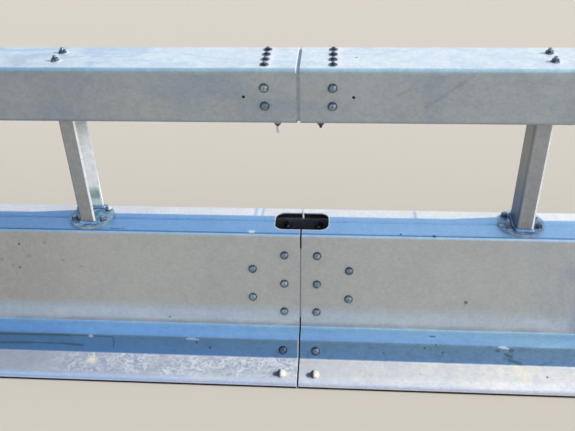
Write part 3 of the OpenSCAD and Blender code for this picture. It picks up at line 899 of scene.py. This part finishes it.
# A warm smear on the top, and beside each stud a pale patch of painted sunlight and a painted shadow streak
# to its left
warm = stroke(point, (-0.792, -0.022, 0.900), (-0.739, -0.040, 0.900), 0.045, 0.9)
colour = blend(warm * 0.25, colour, rgb(206, 190, 176))
from_stud_x = from_post(along)
from_stud_y = (across.math("ABSOLUTE") - head_hole_w / 2).math("ABSOLUTE")
pale_x, pale_y = (from_stud_x - 0.004).math("ABSOLUTE"), from_stud_y * 1.3
stud_sunlit_patch = 1 - steps((pale_x * pale_x + pale_y * pale_y).math("SQRT"), 0.013, 0.021)
colour = blend(stud_sunlit_patch * on_rail_top * 0.75, colour, white)
stud_shadow = band(from_stud_x, -0.030, -0.022, -0.004, 0.0) * (1 - steps(from_stud_y, 0.0012, 0.0034))
colour = blend(stud_shadow * on_rail_top * 0.7, colour, rgb(70, 88, 112))

# Scrapes and specks
scrape = any_of([stroke(point, (0.454, -0.0845, 0.882), (0.340, -0.0845, 0.795), 0.009, 0.9),
                 stroke(point, (0.297, -0.0845, 0.845), (0.262, -0.0845, 0.826), 0.007, 0.9)])
colour = blend(scrape * 0.25, colour, rgb(118, 132, 150))
spots = any_of([speck(point, (0.153, -0.004, 0.900), 0.007), speck(point, (0.135, 0.083, 0.898), 0.010),
                speck(point, (-0.004, -0.0845, 0.752), 0.006)])
colour = blend(spots * 0.7, colour, rgb(60, 66, 74))
finish_zinc(rail_finish, point, colour, 0.20)
for end in ("left", "right"):
    dress(f"{end}_rail", rail_finish)

# The rail sleeve
# A shorter piece of folded sheet of the same section, bolted inside the joint of the rails.
# It is seen only as a line in the gap, with its top painted a darker blue with the shade of the gap.
sleeve_finish, point, (along, across, up) = zinc("sleeve_zinc")
shaded_sleeve_top = steps(up, rail_high.z - 0.016, rail_high.z - 0.010)
finish_zinc(sleeve_finish, point, blend(shaded_sleeve_top, rgb(176, 181, 184), rgb(140, 156, 178)))
dress("rail_sleeve", sleeve_finish)

# The bolts of the rail
# Steel bolts dipped in zinc: round-headed ones through the sides of the rail and its sleeve, small ones
# through the top with their nuts outside, and others through the lips with their nuts hanging down.
side_pitch, top_pitch = 0.052, 0.0375
lip_hole_x, lip_hole_y = 0.0595, 0.063
side_places, top_places = [], []
for end in (left, right):
    for side in (front, rear):
        for row in (-0.5, 0.5):
            height = rail_high.z - rail_depth / 2 + row * side_pitch
            face = Vector((rail_high.y, height)), Vector((1, 0))
            side_places.append(at_joint(side, end, side_hole_x, *face))
    for row in (-1.5, -0.5, 0.5, 1.5):
        place = Vector((end * side_hole_x, row * top_pitch, rail_high.z - joint_stack))
        top_places.append((place, Vector((0, 0, -1))))
bolts("rail_side_bolts", side_places, round_bolt, bolt_finish)
small_bolt = {**base_bolt, "Head Radius": 0.0085, "Head Height": 0.0060, "Rim Height": 0.0045,
              "Grip": joint_stack, "Shank Radius": 0.004, "Washer Radius": 0.0125,
              "Washer Thickness": 0.0014, "Nut Radius": 0.0074, "Nut Height": 0.0038, "Nut Crown": 3.0,
              "Tail": 0.0028}
dark_finish = bolt_zinc("small_bolt_zinc", rgb(70, 84, 106), rgb(44, 56, 80))
bolts("rail_top_bolts", top_places, small_bolt, dark_finish)
lip_bolt = {**small_bolt, "Washer Radius": 0.0105, "Washer Thickness": 0.002, "Nut Radius": 0.0100,
            "Nut Height": 0.0135, "Nut Side": 0.3, "Nut Crown": 1.6}
# The left lip bolts have a painted highlight on their threaded ends
lit_lip_finish = bolt_zinc("lit_lip_bolt_zinc", rgb(232, 236, 240), rgb(84, 96, 112))
lip_kinds = ("left_lip_bolts", left, 0.020, lit_lip_finish), ("right_lip_bolts", right, 0.003, dark_finish)
inside_lip = rail_low.z + joint_stack
for name, end, tail, finish in lip_kinds:
    lip_places = [(Vector((end * lip_hole_x, y * lip_hole_y, inside_lip)), Vector((0, 0, 1)))
                  for y in (front, rear)]
    bolts(name, lip_places, {**lip_bolt, "Tail": tail}, finish)

# The studs of the head plates
# Steel studs welded into the head plates come up through the rail's top, each with a washer, a nut and a
# threaded end.
stud = {**round_bolt, "Head Sides": 20, "Head Radius": 0.0100, "Head Height": 0.0025, "Rim Height": 0.001,
        "Grip": 0.013, "Shank Radius": 0.005, "Washer Radius": 0.0125, "Washer Thickness": 0.0015,
        "Nut Radius": 0.0098, "Nut Height": 0.0070, "Tail": 0.006}
stud_places = []
for i in numbers:
    low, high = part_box(f"head_plate_{i}")
    for y in (front, rear):
        stud_places.append((Vector(((low.x + high.x) / 2, y * head_hole_w / 2, low.z)), Vector((0, 0, -1))))
bolts("head_studs", stud_places, stud, bolt_finish)
